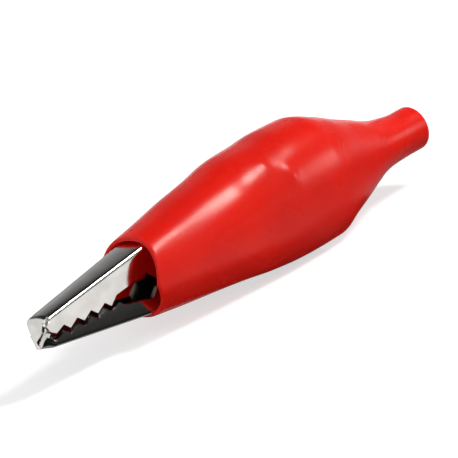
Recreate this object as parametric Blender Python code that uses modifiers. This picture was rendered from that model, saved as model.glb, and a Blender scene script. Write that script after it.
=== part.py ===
"""Insulated crocodile clip: two stamped jaws on a rivet, a torsion spring and a soft boot.

The clip lies along X with its nose at -X and its cable tail at +X. The jaws open in
the XZ plane, the upper one on the rivet. Sizes are in millimetres and measured from
the foremost point of the nose and from the clip's long axis, unless a comment says
otherwise; MM turns them into metres.
"""

import math

import bmesh
import bpy

MM = 0.001

# Overall
CLIP_LENGTH = 54.0
SHEET = 0.4
SIDE_CLEARANCE = 0.1
FLANGE_REACH = 9.0

# Jaw blades, from the nose to the boot's mouth
NOSE_HALF_WIDTH = 1.19
WIDTH_TAPER = 0.039
UPPER_BEND_RADIUS = 0.3
UPPER_NOSE_HEIGHT = 1.32
UPPER_RISE = 0.143
UPPER_FRONT_X = 1.15
LOWER_BEND_RADIUS = 0.48
LOWER_NOSE_DEPTH = 1.3
LOWER_FALL = 0.134
BLADE_END_X = 13.4

# Nose: a tab on the upper jaw that drops into the lower jaw's V
TAB_HALF_WIDTH = 1.0
TAB_SHOULDER_HALF_WIDTH = 0.87
TAB_POINT_HALF_WIDTH = 0.1
TAB_TOP_Z = 1.22
TAB_SHOULDER_Z = 0.36
TAB_POINT_Z = -0.42
TAB_LEAN = 0.36
TAB_ROOT_X = 1.95
TAB_BEND = 0.12
TAB_NECK_HALF_WIDTH = 1.1
TAB_NECK_SUNK = 0.02
TAB_ROOT_HALF_WIDTH = 0.75
TAB_ROOT_SUNK = 0.1
RELIEF_TOP_Z = 1.25
RELIEF_BACK = (0.7, 0.86)
HOOK_CORNER = (0.52, 0.72)
HOOK_TOE = (0.82, 0.16)
V_FRONT_X = 0.05
V_HALF_WIDTH = 1.0
V_TOP_Z = 0.1
V_KEEL_Z = -1.25
V_KEEL_HALF_WIDTH = 0.27
V_FRONT_LEAN = 0.35
V_CORNER_Z = -0.16
V_LENGTH = 1.3
V_MIDDLE_SHARE = 0.3
V_MIDDLE_ROUNDNESS = 0.12

# Teeth
TOOTH_COUNT = 5
TOOTH_PITCH = 1.7
TOOTH_DEPTH = 0.56
TOOTH_STEEP_SHARE = 0.4
FIRST_PEAK_X = 2.46
LOWER_PEAK_Z = -0.36
ROW_GAP = 0.57
FIRST_VALLEY_HIGHER = 0.05
FIRST_TIP_X = 1.45
FIRST_TIP_SHORTER = 0.14

# Throat behind the teeth
UPPER_THROAT_HEIGHT = 0.34
UPPER_THROAT_APEX = 0.9
LAST_FLANK = 0.9
LOWER_THROAT_DEPTH = 0.65
THROAT_END_X = 13.3
EDGE_RUN = 1.0
UPPER_EDGE_Z = -0.05
LOWER_EDGE_RUN = 1.1
LOWER_EDGE_Z = -0.63

# Pivot
PIVOT_X = 20.0
PIVOT_Z = 0.0
EAR_HALF_WIDTH = 1.9
INNER_EAR_HALF_WIDTH = EAR_HALF_WIDTH - SHEET - SIDE_CLEARANCE
EAR_RADIUS = 2.3
EAR_START_X = 15.6
EAR_END_X = 24.4
EAR_ARC_START = 20
EAR_ARC_END = 10
RIVET_RADIUS = 0.9
RIVET_HEAD_RADIUS = 1.55
RIVET_HEAD_HEIGHT = 0.4
RIVET_HEAD_EDGE = 0.16
PIN_CLEARANCE = 0.08

# Thumb lever, the rear of the upper jaw
LEVER_END_X = 37.5
LEVER_SLOPE_END_X = 26.0
LEVER_TOP_Z = 5.4
LEVER_SLOPE_SHARE = 0.66
LEVER_LEVEL_X = 32.9
LEVER_DROOP = 0.1
LEVER_HALF_WIDTH = 2.8
LEVER_FLANGE = 2.1
LEVER_END_FLANGE = 1.0
LEVER_END_CORNER = 1.5

# Shank, the rear of the lower jaw
SHANK_END_X = 37.5
SHANK_FLAT_START_X = 26.0
SHANK_WIDE_X = 26.8
SHANK_FLAT_END_X = 32.6
SHANK_PIVOT_Z = -3.4
SHANK_FLAT_Z = -3.8
SHANK_END_Z = -4.35
SHANK_HALF_WIDTH = 2.6
SHANK_FLANGE = 1.1
SHANK_END_FLANGE = 0.9
CRIMP_HALF_WIDTH = 2.1
CRIMP_BEND_RADIUS = 1.2
CRIMP_START_X = 33.6
CRIMP_LENGTH = 3.2
CRIMP_HEIGHT = 2.5
CRIMP_RAKE = 0.3
CRIMP_RELIEF = 0.4

# Terminal screw
SCREW_X = 29.3
SCREW_RADIUS = 1.25
SCREW_LENGTH = 1.7
SCREW_HEAD_RADIUS = 1.95
SCREW_HEAD_HEIGHT = 1.1
SCREW_EDGE = 0.25
SCREW_LIFT = 0.6
SCREW_CLEARANCE = 0.08
SLOT_WIDTH = 0.6
SLOT_DEPTH = 0.55
COLLAR_WALL = 0.35
COLLAR_HEIGHT = 0.5

# Torsion spring. One wire takes its share of the space between the lower jaw's ears.
COIL_SIDE_CLEARANCE = 0.11
COIL_SPACE = 2 * (INNER_EAR_HALF_WIDTH - SHEET - COIL_SIDE_CLEARANCE)
WIRE_SHARE = 0.25
WIRE = COIL_SPACE * WIRE_SHARE
COIL_RADIUS = 1.5
COIL_FULL_TURNS = 2
LEG_END_X = 26.9
LEG_CLEARANCE = 0.3

# Boot. A station gives its place, the share of the way from the mouth's half width to
# the bulge's, and how slack the wall stands over the upper and the lower jaw's folds
# there, beyond BOOT_CLEARANCE. BELLY_FLUTE is the share of its depth by which the middle
# of the underside is drawn in, so that the boot stands on two lines.
BOOT_WALL = 0.55
BOOT_CLEARANCE = 0.15
BOOT_SQUARENESS = 2.3
BELLY_SQUARENESS = 3.0
BELLY_FLUTE = 0.02
BOOT_MOUTH_HALF_WIDTH = 3.9
BOOT_BULGE_HALF_WIDTH = 5.65
MOUTH_X = 12.6
MOUTH_SLANT = 0.3
SLANT_END_X = 24.0
BOOT_STATIONS = [
    (MOUTH_X, 0.0, 0.0, 0.1),
    (16.0, 0.23, 0.0, 0.07),
    (PIVOT_X, 0.51, 0.15, 0.1),
    (24.0, 0.69, 0.2, 0.09),
    (28.0, 0.86, 0.4, 0.3),
    (31.0, 0.97, 0.2, 0.58),
    (34.0, 1.0, 0.3, 0.83),
    (LEVER_END_X, 0.86, 0.25, 0.39),
]
# Shares of the way from the lever's end to the neck: place, top, bottom, side
SHOULDER_STATIONS = [
    (0.22, 0.19, 0.28, 0.2),
    (0.47, 0.48, 0.52, 0.5),
    (0.68, 0.7, 0.76, 0.74),
    (0.85, 0.89, 0.93, 0.92),
]
NECK_X = 49.2
NECK_RADIUS = 2.45
NECK_LIFT = 0.15
TAIL_RADIUS = 2.2
TAIL_STRAIGHT = 1.6

# Facets
BEND_STEPS = 4
BOOT_SIDES = 32
BOOT_RINGS = 30
ROUND_SIDES = 24
ARC_STEPS = 10
WIRE_STEP_ANGLE = math.radians(24)


def lerp(start, end, share):
    """Value at a share of the way from start to end."""
    return start + (end - start) * share


def along(stations, x):
    """Straight-line value at x of a list of (x, value) pairs."""
    if x <= stations[0][0]:
        return stations[0][1]
    for (x0, v0), (x1, v1) in zip(stations, stations[1:]):
        if x <= x1:
            return lerp(v0, v1, (x - x0) / (x1 - x0))
    return stations[-1][1]


def smooth_along(stations, x):
    """Like along, but rounded at the stations and never past their values."""
    count = len(stations)
    slopes = [(b[1] - a[1]) / (b[0] - a[0]) for a, b in zip(stations, stations[1:])]
    tangents = [slopes[0]]
    for before, after in zip(slopes, slopes[1:]):
        same_way = before * after > 0
        tangents.append(2 * before * after / (before + after) if same_way else 0.0)
    tangents.append(slopes[-1])
    for i in range(count - 1):
        x0, v0 = stations[i]
        x1, v1 = stations[i + 1]
        if x <= x1 or i == count - 2:
            span = x1 - x0
            t = min(max((x - x0) / span, 0.0), 1.0)
            return (v0 * (1 + 2 * t) * (1 - t) ** 2 + v1 * t * t * (3 - 2 * t)
                    + span * t * (1 - t) * (tangents[i] * (1 - t) - tangents[i + 1] * t))


def blade_half_width(x):
    """Outer half width of both jaw blades."""
    return NOSE_HALF_WIDTH + WIDTH_TAPER * x


def upper_top(x):
    """Height of the upper jaw's web, outside."""
    slope_end = UPPER_NOSE_HEIGHT + UPPER_RISE * PIVOT_X
    return smooth_along([
        (0.0, UPPER_NOSE_HEIGHT),
        (PIVOT_X, slope_end),
        (LEVER_SLOPE_END_X, lerp(slope_end, LEVER_TOP_Z, LEVER_SLOPE_SHARE)),
        (LEVER_LEVEL_X, LEVER_TOP_Z),
        (LEVER_END_X, LEVER_TOP_Z - LEVER_DROOP),
    ], x)


def upper_half_width(x):
    """Outer half width of the upper jaw."""
    return along([
        (0.0, blade_half_width(0.0)),
        (BLADE_END_X, blade_half_width(BLADE_END_X)),
        (EAR_START_X, EAR_HALF_WIDTH),
        (EAR_END_X, EAR_HALF_WIDTH),
        (LEVER_LEVEL_X, LEVER_HALF_WIDTH),
        (LEVER_END_X, LEVER_HALF_WIDTH),
    ], x)


def lower_bottom(x):
    """Height of the lower jaw's web, outside."""
    return along([
        (0.0, -LOWER_NOSE_DEPTH),
        (BLADE_END_X, -LOWER_NOSE_DEPTH - LOWER_FALL * BLADE_END_X),
        (PIVOT_X, SHANK_PIVOT_Z),
        (SHANK_FLAT_START_X, SHANK_FLAT_Z),
        (SHANK_FLAT_END_X, SHANK_FLAT_Z),
        (SHANK_END_X, SHANK_END_Z),
    ], x)


def lower_half_width(x):
    """Outer half width of the lower jaw; its ears lie inside the upper jaw's."""
    return along([
        (0.0, blade_half_width(0.0)),
        (BLADE_END_X, blade_half_width(BLADE_END_X)),
        (EAR_START_X, INNER_EAR_HALF_WIDTH),
        (EAR_END_X, INNER_EAR_HALF_WIDTH),
        (SHANK_WIDE_X, SHANK_HALF_WIDTH),
        (SHANK_FLAT_END_X, SHANK_HALF_WIDTH),
        (CRIMP_START_X, CRIMP_HALF_WIDTH),
        (SHANK_END_X, CRIMP_HALF_WIDTH),
    ], x)


def lower_bend(x):
    """Outer radius of the lower jaw's two folds."""
    return along([
        (SHANK_FLAT_END_X, LOWER_BEND_RADIUS),
        (CRIMP_START_X, CRIMP_BEND_RADIUS),
        (SHANK_END_X, CRIMP_BEND_RADIUS),
    ], x)


def new_collection(name):
    collection = bpy.data.collections.new(name)
    bpy.context.scene.collection.children.link(collection)
    return collection


def clear_scene():
    for obj in list(bpy.data.objects):
        bpy.data.objects.remove(obj, do_unlink=True)


def material(name, colour, roughness, metallic):
    mat = bpy.data.materials.new(name)
    mat.use_nodes = True
    shader = mat.node_tree.nodes["Principled BSDF"]
    shader.inputs["Base Color"].default_value = (*colour, 1.0)
    shader.inputs["Roughness"].default_value = roughness
    shader.inputs["Metallic"].default_value = metallic
    return mat


def mesh_object(name, points, faces, collection):
    """Object from points in millimetres."""
    mesh = bpy.data.meshes.new(name)
    mesh.from_pydata([tuple(c * MM for c in p) for p in points], [], faces)
    mesh.update()
    obj = bpy.data.objects.new(name, mesh)
    collection.objects.link(obj)
    return obj


def smooth(obj, degrees):
    obj.data.shade_smooth()
    obj.data.set_sharp_from_angle(angle=math.radians(degrees))


def loft_faces(ring_count, ring_size):
    """Quads that join closed rings of equal size, each to the next."""
    faces = []
    for ring in range(ring_count - 1):
        for i in range(ring_size):
            j = (i + 1) % ring_size
            low = ring * ring_size
            high = low + ring_size
            faces.append((low + i, low + j, high + j, high + i))
    return faces


def recalculate_outward(mesh):
    bm = bmesh.new()
    bm.from_mesh(mesh)
    bmesh.ops.recalc_face_normals(bm, faces=bm.faces)
    bm.to_mesh(mesh)
    bm.free()


def loft_solid(name, rings, collection):
    """Closed solid through rings of points, with a flat cap on each end."""
    size = len(rings[0])
    points = [p for ring in rings for p in ring]
    faces = loft_faces(len(rings), size)
    faces.append(tuple(range(size)))
    faces.append(tuple(range((len(rings) - 1) * size, len(rings) * size)))
    obj = mesh_object(name, points, faces, collection)
    recalculate_outward(obj.data)
    return obj


def inset_path(path, distance):
    """Open path moved to its left by a distance, with mitred corners."""
    normals = []
    for (y0, z0), (y1, z1) in zip(path, path[1:]):
        length = math.hypot(y1 - y0, z1 - z0)
        normals.append(((z0 - z1) / length, (y1 - y0) / length))
    moved = []
    for i, (y, z) in enumerate(path):
        before = normals[max(i - 1, 0)]
        after = normals[min(i, len(normals) - 1)]
        sum_y = before[0] + after[0]
        sum_z = before[1] + after[1]
        scale = 2 * distance / (sum_y * sum_y + sum_z * sum_z)
        moved.append((y + sum_y * scale, z + sum_z * scale))
    return moved


def folded_section(half_width, bend_z, web_half, web_z, flange_z, roundness):
    """Closed outline of a sheet folded twice, from one flange's edge to the other's.

    Each fold runs from (half_width, bend_z) to (web_half, web_z). Roundness 1 makes it a
    quarter of an ellipse, and 0 makes it a straight facet.
    """
    corners = [(half_width, flange_z), (half_width, bend_z), (web_half, web_z)]
    fold = []
    for step in range(1, BEND_STEPS):
        share = step / BEND_STEPS
        angle = share * math.pi / 2
        round_y = web_half + (half_width - web_half) * math.cos(angle)
        round_z = bend_z + (web_z - bend_z) * math.sin(angle)
        fold.append((lerp(lerp(half_width, web_half, share), round_y, roundness),
                     lerp(lerp(bend_z, web_z, share), round_z, roundness)))
    near = [corners[0], corners[1], *fold, corners[2]]
    outer = near + [(-y, z) for y, z in reversed(near)]
    plain = corners + [(-y, z) for y, z in reversed(corners)]
    turn = 1 if web_z > flange_z else -1
    inner = inset_path(plain, SHEET * turn)
    return outer + list(reversed(inner))


def ring_at(x, section):
    return [(x, y, z) for y, z in section]


def hide_cutter(obj):
    obj.hide_render = True
    obj.display_type = "WIRE"


def outline_cutter(name, outline, collection):
    """Side outline in XZ, given as points in millimetres, made a plate across the clip."""
    curve = bpy.data.curves.new(name + "_outline", "CURVE")
    curve.dimensions = "2D"
    curve.fill_mode = "BOTH"
    curve.extrude = FLANGE_REACH * MM
    spline = curve.splines.new("POLY")
    spline.points.add(len(outline) - 1)
    for point, (x, z) in zip(spline.points, outline):
        point.co = (x * MM, z * MM, 0.0, 1.0)
    spline.use_cyclic_u = True
    drawn = bpy.data.objects.new(name + "_outline", curve)
    drawn.rotation_euler = (math.pi / 2, 0.0, 0.0)
    collection.objects.link(drawn)
    return curve_to_mesh(drawn, name, collection)


def curve_to_mesh(drawn, name, collection):
    """Replace a curve object by a mesh object with its caps welded."""
    bpy.context.view_layer.update()
    evaluated = drawn.evaluated_get(bpy.context.evaluated_depsgraph_get())
    mesh = bpy.data.meshes.new_from_object(evaluated)
    mesh.name = name
    obj = bpy.data.objects.new(name, mesh)
    obj.matrix_world = drawn.matrix_world.copy()
    collection.objects.link(obj)
    bpy.data.objects.remove(drawn, do_unlink=True)
    bm = bmesh.new()
    bm.from_mesh(mesh)
    bmesh.ops.remove_doubles(bm, verts=bm.verts, dist=0.001 * MM)
    bmesh.ops.recalc_face_normals(bm, faces=bm.faces)
    bm.to_mesh(mesh)
    bm.free()
    return obj


def cylinder(name, radius, length, location, axis, collection):
    """Capped cylinder centred on a point in millimetres; axis is "Y" or "Z"."""
    mesh = bpy.data.meshes.new(name)
    bm = bmesh.new()
    bmesh.ops.create_cone(bm, cap_ends=True, segments=ROUND_SIDES, radius1=radius * MM,
                          radius2=radius * MM, depth=length * MM)
    bm.to_mesh(mesh)
    bm.free()
    obj = bpy.data.objects.new(name, mesh)
    obj.location = [c * MM for c in location]
    if axis == "Y":
        obj.rotation_euler = (math.pi / 2, 0.0, 0.0)
    collection.objects.link(obj)
    return obj


def boolean(obj, other, operation):
    modifier = obj.modifiers.new(operation.lower() + "_" + other.name, "BOOLEAN")
    modifier.operation = operation
    modifier.solver = "EXACT"
    modifier.object = other


def turned(name, profile, collection):
    """Solid of revolution about local Z from a profile of (radius, height), top to bottom."""
    points = [(radius, 0.0, height) for radius, height in profile]
    edges = [(i, i + 1) for i in range(len(profile) - 1)]
    mesh = bpy.data.meshes.new(name)
    mesh.from_pydata([tuple(c * MM for c in p) for p in points], edges, [])
    obj = bpy.data.objects.new(name, mesh)
    collection.objects.link(obj)
    screw = obj.modifiers.new("turn", "SCREW")
    screw.axis = "Z"
    screw.steps = ROUND_SIDES
    screw.render_steps = ROUND_SIDES
    screw.use_merge_vertices = True
    screw.merge_threshold = 0.001 * MM
    screw.use_smooth_shade = False
    return obj


def tooth_row(first_x, peak_z, first_flank):
    """Saw-tooth points: each peak, then the valley behind it."""
    points = []
    for i in range(TOOTH_COUNT):
        peak_x = first_x + i * TOOTH_PITCH
        points.append((peak_x, peak_z))
        points.append((peak_x + first_flank * TOOTH_PITCH, peak_z - TOOTH_DEPTH))
    return points


def arc(centre_x, centre_z, radius, start_degrees, end_degrees):
    """Points of an arc in XZ."""
    points = []
    for step in range(ARC_STEPS + 1):
        angle = math.radians(lerp(start_degrees, end_degrees, step / ARC_STEPS))
        points.append((centre_x + radius * math.cos(angle), centre_z + radius * math.sin(angle)))
    return points


def upper_outline():
    """Side outline of the upper jaw without its nose tab.

    It starts with the relief slit behind the tab's fold and the small hook below it.
    """
    valley_z = LOWER_PEAK_Z + ROW_GAP
    tip_z = valley_z - TOOTH_DEPTH
    front = [
        (UPPER_FRONT_X, FLANGE_REACH),
        (UPPER_FRONT_X, RELIEF_TOP_Z),
        RELIEF_BACK,
        HOOK_CORNER,
        HOOK_TOE,
        (FIRST_TIP_X, tip_z + FIRST_TIP_SHORTER),
        (FIRST_PEAK_X, valley_z),
    ]
    teeth = []
    for i in range(TOOTH_COUNT - 1):
        valley_x = FIRST_PEAK_X + i * TOOTH_PITCH
        teeth.append((valley_x + TOOTH_STEEP_SHARE * TOOTH_PITCH, tip_z))
        teeth.append((valley_x + TOOTH_PITCH, valley_z))
    last_tip_x = FIRST_PEAK_X + (TOOTH_COUNT - 2 + TOOTH_STEEP_SHARE) * TOOTH_PITCH
    teeth = teeth[:-1]
    throat = [
        (last_tip_x + LAST_FLANK, UPPER_THROAT_HEIGHT),
        (THROAT_END_X, UPPER_THROAT_APEX),
        (THROAT_END_X + EDGE_RUN, UPPER_EDGE_Z),
        (EAR_START_X, UPPER_EDGE_Z),
    ]
    ear = arc(PIVOT_X, PIVOT_Z, EAR_RADIUS, 180 + EAR_ARC_START, 360 - EAR_ARC_START)
    end_z = upper_top(LEVER_END_X)
    lever = [
        (EAR_END_X, upper_top(EAR_END_X) - LEVER_FLANGE),
        (LEVER_END_X - LEVER_END_CORNER, end_z - LEVER_FLANGE),
        (LEVER_END_X, end_z - LEVER_END_FLANGE),
        (LEVER_END_X, FLANGE_REACH),
    ]
    return front + teeth + throat + ear + lever


def lower_outline():
    """Side outline of the lower jaw."""
    valley_z = LOWER_PEAK_Z - TOOTH_DEPTH
    below = SHANK_END_Z - SHEET
    front = [
        (V_FRONT_X + V_FRONT_LEAN * (below - V_KEEL_Z), below),
        (V_FRONT_X + V_FRONT_LEAN * (V_CORNER_Z - V_KEEL_Z), V_CORNER_Z),
        (V_LENGTH, valley_z + FIRST_VALLEY_HIGHER),
    ]
    teeth = tooth_row(FIRST_PEAK_X, LOWER_PEAK_Z, TOOTH_STEEP_SHARE)
    throat = [
        (THROAT_END_X, valley_z - LOWER_THROAT_DEPTH),
        (THROAT_END_X + LOWER_EDGE_RUN, LOWER_EDGE_Z),
        (EAR_START_X, LOWER_EDGE_Z),
    ]
    ear = arc(PIVOT_X, PIVOT_Z, EAR_RADIUS, 180 - EAR_ARC_END, EAR_ARC_END)
    flange_top = SHANK_FLAT_Z + SHANK_FLANGE
    crimp_base = lower_bottom(CRIMP_START_X)
    rear = [
        (EAR_END_X, flange_top),
        (SHANK_FLAT_END_X, flange_top),
        (CRIMP_START_X - CRIMP_RELIEF, crimp_base + SHANK_FLANGE),
        (CRIMP_START_X, crimp_base + SHANK_FLANGE),
        (CRIMP_START_X + CRIMP_RAKE, crimp_base + CRIMP_HEIGHT),
        (CRIMP_START_X + CRIMP_LENGTH - CRIMP_RAKE, crimp_base + CRIMP_HEIGHT),
        (CRIMP_START_X + CRIMP_LENGTH, SHANK_END_Z + SHANK_END_FLANGE),
        (SHANK_END_X, SHANK_END_Z + SHANK_END_FLANGE),
        (SHANK_END_X, below),
    ]
    return front + teeth + throat + ear + rear


def nose_tab(collection):
    """The web's end, bent down into a pointed tab: a strip that starts inside the web."""
    root_z = upper_top(TAB_ROOT_X) - TAB_ROOT_SUNK
    neck_z = upper_top(UPPER_FRONT_X) - TAB_NECK_SUNK
    points = [
        (TAB_ROOT_X, root_z, TAB_ROOT_HALF_WIDTH, SHEET / 2),
        (UPPER_FRONT_X, neck_z, TAB_NECK_HALF_WIDTH, SHEET),
        (TAB_LEAN + TAB_BEND, TAB_TOP_Z + TAB_BEND / 3, TAB_HALF_WIDTH, SHEET),
        (TAB_LEAN, TAB_TOP_Z - TAB_BEND / 2, TAB_HALF_WIDTH, SHEET),
        (TAB_LEAN / 2, TAB_SHOULDER_Z, TAB_SHOULDER_HALF_WIDTH, SHEET),
        (0.0, TAB_POINT_Z, TAB_POINT_HALF_WIDTH, SHEET),
    ]
    path = [(x, z) for x, z, _, _ in points]
    rings = []
    for i, (x, z, half, thick) in enumerate(points):
        inner_x, inner_z = inset_path(path, thick)[i]
        rings.append([(x, -half, z), (x, half, z), (inner_x, half, inner_z), (inner_x, -half, inner_z)])
    return loft_solid("nose_tab", rings, collection)


def upper_jaw(parts, cutters, rivet_hole):
    xs = [V_FRONT_X, UPPER_FRONT_X, BLADE_END_X, EAR_START_X, PIVOT_X, EAR_END_X,
          LEVER_SLOPE_END_X, lerp(LEVER_SLOPE_END_X, LEVER_LEVEL_X, 0.5), LEVER_LEVEL_X,
          lerp(LEVER_LEVEL_X, LEVER_END_X, 0.5), LEVER_END_X + SHEET]
    rings = []
    for x in xs:
        half = upper_half_width(x)
        top = upper_top(x)
        radius = UPPER_BEND_RADIUS
        section = folded_section(half, top - radius, half - radius, top, -FLANGE_REACH, 1.0)
        rings.append(ring_at(x, section))
    jaw = loft_solid("upper_jaw", rings, parts)
    boolean(jaw, outline_cutter("upper_jaw_outline", upper_outline(), cutters), "INTERSECT")
    boolean(jaw, rivet_hole, "DIFFERENCE")
    tab = nose_tab(cutters)
    hide_cutter(tab)
    boolean(jaw, tab, "UNION")
    smooth(jaw, 30)
    return jaw


def lower_jaw(parts, cutters, rivet_hole):
    rings = []
    middle = V_LENGTH * V_MIDDLE_SHARE
    for x, share in ((0.0, 0.0), (middle, V_MIDDLE_ROUNDNESS), (V_LENGTH, 1.0)):
        radius = LOWER_BEND_RADIUS
        half = lerp(V_HALF_WIDTH, lower_half_width(x), min(1.0, x / middle * 0.5))
        bottom = lower_bottom(x)
        section = folded_section(
            half,
            lerp(V_TOP_Z, bottom + radius, share),
            lerp(V_KEEL_HALF_WIDTH, half - radius, share),
            lerp(V_KEEL_Z, bottom, share),
            FLANGE_REACH,
            share,
        )
        rings.append(ring_at(x, section))
    for x in (BLADE_END_X, EAR_START_X, PIVOT_X, EAR_END_X, SHANK_FLAT_START_X,
              SHANK_WIDE_X, SHANK_FLAT_END_X, CRIMP_START_X, SHANK_END_X):
        half = lower_half_width(x)
        bottom = lower_bottom(x)
        radius = lower_bend(x)
        rings.append(ring_at(x, folded_section(half, bottom + radius, half - radius, bottom,
                                               FLANGE_REACH, 1.0)))
    jaw = loft_solid("lower_jaw", rings, parts)
    boolean(jaw, outline_cutter("lower_jaw_outline", lower_outline(), cutters), "INTERSECT")
    boolean(jaw, rivet_hole, "DIFFERENCE")
    web_middle = SHANK_FLAT_Z + SHEET / 2
    collar_height = SHEET / 2 + COLLAR_HEIGHT
    bore = SCREW_RADIUS + SCREW_CLEARANCE
    collar = cylinder("screw_collar", bore + COLLAR_WALL, collar_height,
                      (SCREW_X, 0.0, web_middle + collar_height / 2), "Z", cutters)
    hole = cylinder("screw_hole", bore, 2 * SCREW_LENGTH, (SCREW_X, 0.0, web_middle), "Z", cutters)
    boolean(jaw, collar, "UNION")
    boolean(jaw, hole, "DIFFERENCE")
    smooth(jaw, 30)
    return jaw


def rivet(parts):
    """Solid rivet across the ears, with a low head on each end."""
    grip = EAR_HALF_WIDTH + SIDE_CLEARANCE
    end = grip + RIVET_HEAD_HEIGHT
    half = [
        (0.0, end),
        (RIVET_HEAD_RADIUS - RIVET_HEAD_EDGE, end),
        (RIVET_HEAD_RADIUS, end - RIVET_HEAD_EDGE),
        (RIVET_HEAD_RADIUS, grip),
        (RIVET_RADIUS, grip),
    ]
    profile = half + [(radius, -height) for radius, height in reversed(half)]
    obj = turned("pivot_rivet", profile, parts)
    obj.location = (PIVOT_X * MM, 0.0, PIVOT_Z * MM)
    obj.rotation_euler = (math.pi / 2, 0.0, 0.0)
    return obj


def spring_path():
    """Points of the wire: lever leg, coil round the rivet, shank leg."""
    seat = SHEET + LEG_CLEARANCE + WIRE / 2
    turns = []
    ends = []
    for height, side in ((upper_top(LEG_END_X) - seat, 1), (lower_bottom(LEG_END_X) + seat, -1)):
        reach_x = LEG_END_X - PIVOT_X
        reach_z = height - PIVOT_Z
        touch = math.acos(COIL_RADIUS / math.hypot(reach_x, reach_z))
        turns.append(math.atan2(reach_z, reach_x) + side * touch)
        ends.append((LEG_END_X, height))
    start = turns[0]
    sweep = turns[1] + 2 * math.pi * (COIL_FULL_TURNS + 1) - start
    width = COIL_SPACE - WIRE
    steps = math.ceil(sweep / WIRE_STEP_ANGLE)
    points = [(ends[0][0], width / 2, ends[0][1])]
    for step in range(steps + 1):
        share = step / steps
        angle = start + sweep * share
        points.append((PIVOT_X + COIL_RADIUS * math.cos(angle), width * (0.5 - share),
                       PIVOT_Z + COIL_RADIUS * math.sin(angle)))
    points.append((ends[1][0], -width / 2, ends[1][1]))
    return points


def torsion_spring(parts):
    points = spring_path()
    curve = bpy.data.curves.new("torsion_spring", "CURVE")
    curve.dimensions = "3D"
    curve.bevel_depth = WIRE / 2 * MM
    curve.bevel_resolution = 2
    curve.use_fill_caps = True
    spline = curve.splines.new("POLY")
    spline.points.add(len(points) - 1)
    for point, (x, y, z) in zip(spline.points, points):
        point.co = (x * MM, y * MM, z * MM, 1.0)
    drawn = bpy.data.objects.new("torsion_spring_path", curve)
    parts.objects.link(drawn)
    spring = curve_to_mesh(drawn, "torsion_spring", parts)
    smooth(spring, 40)
    return spring


def terminal_screw(parts, cutters):
    """Slotted pan-head screw, backed off from the collar as far as a wire needs."""
    profile = [
        (0.0, SCREW_HEAD_HEIGHT),
        (SCREW_HEAD_RADIUS - SCREW_EDGE, SCREW_HEAD_HEIGHT),
        (SCREW_HEAD_RADIUS, SCREW_HEAD_HEIGHT - SCREW_EDGE),
        (SCREW_HEAD_RADIUS, 0.0),
        (SCREW_RADIUS, 0.0),
        (SCREW_RADIUS, SCREW_EDGE - SCREW_LENGTH),
        (SCREW_RADIUS - SCREW_EDGE, -SCREW_LENGTH),
        (0.0, -SCREW_LENGTH),
    ]
    screw = turned("terminal_screw", profile, parts)
    seat = SHANK_FLAT_Z + SHEET + COLLAR_HEIGHT + SCREW_LIFT
    screw.location = (SCREW_X * MM, 0.0, seat * MM)
    slot_mesh = bpy.data.meshes.new("screw_slot")
    bm = bmesh.new()
    bmesh.ops.create_cube(bm, size=1.0)
    size = (4 * SCREW_HEAD_RADIUS * MM, SLOT_WIDTH * MM, 2 * SLOT_DEPTH * MM)
    bmesh.ops.scale(bm, vec=size, verts=bm.verts)
    bm.to_mesh(slot_mesh)
    bm.free()
    slot = bpy.data.objects.new("screw_slot", slot_mesh)
    slot.location = (SCREW_X * MM, 0.0, (seat + SCREW_HEAD_HEIGHT) * MM)
    cutters.objects.link(slot)
    boolean(screw, slot, "DIFFERENCE")
    return screw


def arch_over_fold(half_width, height, bend_radius, inner_half_width, squareness):
    """Height of the boot's inner oval where it clears a jaw's fold."""
    tuck = bend_radius * (1 - math.sqrt(0.5))
    share = (half_width - tuck) / inner_half_width
    return (height - tuck + BOOT_CLEARANCE) / (1 - share ** squareness) ** (1 / squareness)


def boot_profile():
    """Outer top, bottom and side of the boot, each as (x, value) stations."""
    top = []
    bottom = []
    side = []
    for x, share, slack_top, slack_bottom in BOOT_STATIONS:
        half_width = lerp(BOOT_MOUTH_HALF_WIDTH, BOOT_BULGE_HALF_WIDTH, share)
        inner = half_width - BOOT_WALL
        slant = slant_at(x)
        x_top = x + slant * upper_top(x)
        x_low = x + slant * lower_bottom(x)
        over = arch_over_fold(upper_half_width(x_top), upper_top(x_top), UPPER_BEND_RADIUS, inner,
                              BOOT_SQUARENESS)
        under = arch_over_fold(lower_half_width(x_low), -lower_bottom(x_low), lower_bend(x_low),
                               inner, BELLY_SQUARENESS)
        top.append((x, over + slack_top + BOOT_WALL))
        bottom.append((x, -(under + slack_bottom + BOOT_WALL)))
        side.append((x, half_width))
    ends = (top[-1][1], bottom[-1][1], side[-1][1])
    necks = (NECK_LIFT + NECK_RADIUS, NECK_LIFT - NECK_RADIUS, NECK_RADIUS)
    for place, *shares in SHOULDER_STATIONS:
        x = lerp(LEVER_END_X, NECK_X, place)
        for stations, end, neck, share in zip((top, bottom, side), ends, necks, shares):
            stations.append((x, lerp(end, neck, share)))
    tail = (TAIL_RADIUS, -TAIL_RADIUS, TAIL_RADIUS)
    for stations, neck, end in zip((top, bottom, side), necks, tail):
        stations.append((NECK_X, neck))
        stations.append((CLIP_LENGTH - TAIL_STRAIGHT, end))
        stations.append((CLIP_LENGTH, end))
    return top, bottom, side


def slant_at(x):
    """How far the boot's section leans back for each millimetre of height."""
    return along([(MOUTH_X, MOUTH_SLANT), (SLANT_END_X, 0.0)], x)


def squareness_at(x, belly):
    """Exponent of the boot's section above or, on the flatter belly, below: 2 is an oval."""
    return along([(LEVER_END_X, BELLY_SQUARENESS if belly else BOOT_SQUARENESS), (NECK_X, 2.0)], x)


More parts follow.
